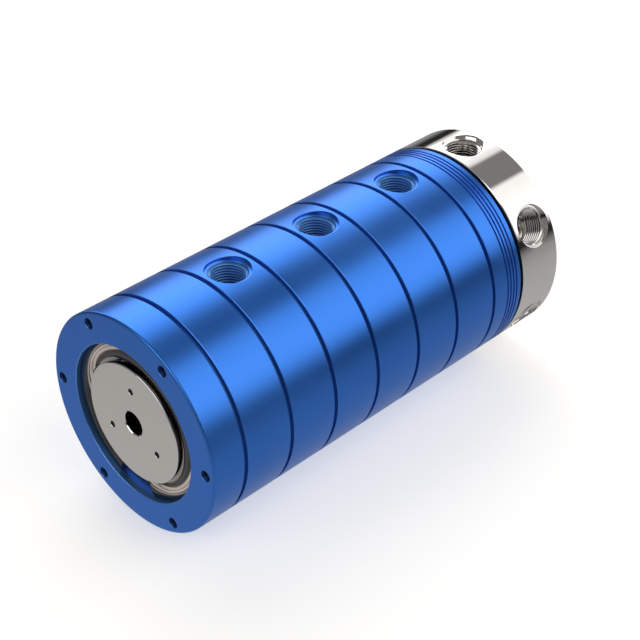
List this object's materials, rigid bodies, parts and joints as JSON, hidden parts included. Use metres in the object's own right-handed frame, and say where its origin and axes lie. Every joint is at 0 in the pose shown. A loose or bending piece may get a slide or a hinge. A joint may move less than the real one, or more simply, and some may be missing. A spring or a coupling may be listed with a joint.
{
  "type": "hydraulic rotary union",
  "caption": "Cylindrical multi-passage rotary union: a stack of blue ported rings stands still while a flanged steel rotor turns inside on ball bearings and passes oil on.",
  "frame": {"origin": "centre of the rotor flange's rear mounting face", "axes": "+X out of the flange's mounting face along the axis of rotation, the housing lies towards -X, +Z towards the ports of channels 2, 4 and 6, +Y completes the right hand"},
  "size_m": [0.2144, 0.1, 0.1],
  "materials": {
    "housing_aluminium": "blue anodised, satin",
    "rotor_steel": "polished flange and journals, fine-turned end face",
    "screw_steel": "blackened",
    "ptfe": "bronze-filled PTFE",
    "elastomer": "matt black",
    "bearing_steel": "ground and polished",
    "cage_brass": "plain",
    "shield_steel": "pressed sheet",
    "snap_ring_steel": "polished"
  },
  "bodies": {
    "housing": {"front_end_ring": "housing_aluminium", "channel_ring_1": "housing_aluminium", "channel_ring_2": "housing_aluminium", "channel_ring_3": "housing_aluminium", "channel_ring_4": "housing_aluminium", "channel_ring_5": "housing_aluminium", "channel_ring_6": "housing_aluminium", "rear_end_ring": "housing_aluminium", "tie_screws": "screw_steel", "rotary_seal_1": "ptfe", "rotary_seal_2": "ptfe", "rotary_seal_3": "ptfe", "rotary_seal_4": "ptfe", "rotary_seal_5": "ptfe", "rotary_seal_6": "ptfe", "rotary_seal_7": "ptfe", "seal_energiser_1": "elastomer", "seal_energiser_2": "elastomer", "seal_energiser_3": "elastomer", "seal_energiser_4": "elastomer", "seal_energiser_5": "elastomer", "seal_energiser_6": "elastomer", "seal_energiser_7": "elastomer", "joint_seal_1": "elastomer", "joint_seal_2": "elastomer", "joint_seal_3": "elastomer", "joint_seal_4": "elastomer", "joint_seal_5": "elastomer", "joint_seal_6": "elastomer", "joint_seal_7": "elastomer", "dust_seal": "elastomer", "front_bearing_outer_race": "bearing_steel", "front_bearing_shields": "shield_steel", "rear_bearing_outer_race": "bearing_steel", "rear_bearing_shields": "shield_steel", "housing_snap_ring": "snap_ring_steel"},
    "rotor": {"rotor_shaft": "rotor_steel", "passage_plugs": "screw_steel", "front_bearing_inner_race": "bearing_steel", "rear_bearing_inner_race": "bearing_steel", "shaft_snap_ring": "snap_ring_steel"},
    "front_ball_set": {"front_bearing_balls": "bearing_steel", "front_bearing_cage": "cage_brass"},
    "rear_ball_set": {"rear_bearing_balls": "bearing_steel", "rear_bearing_cage": "cage_brass"}
  },
  "joints": [
    {"name": "rotor_spin", "type": "hinge", "parent": "housing", "child": "rotor", "pos_m": [-0.1, 0, 0], "axis": [1, 0, 0], "continuous": true},
    {"name": "front_balls_spin", "type": "hinge", "parent": "housing", "child": "front_ball_set", "pos_m": [-0.2044, 0, 0], "axis": [1, 0, 0], "continuous": true},
    {"name": "rear_balls_spin", "type": "hinge", "parent": "housing", "child": "rear_ball_set", "pos_m": [-0.03375, 0, 0], "axis": [1, 0, 0], "continuous": true}
  ],
  "couplings": [
    {"joint": "front_balls_spin", "follows": "rotor_spin", "ratio": 0.4625},
    {"joint": "rear_balls_spin", "follows": "rotor_spin", "ratio": 0.4635}
  ]
}
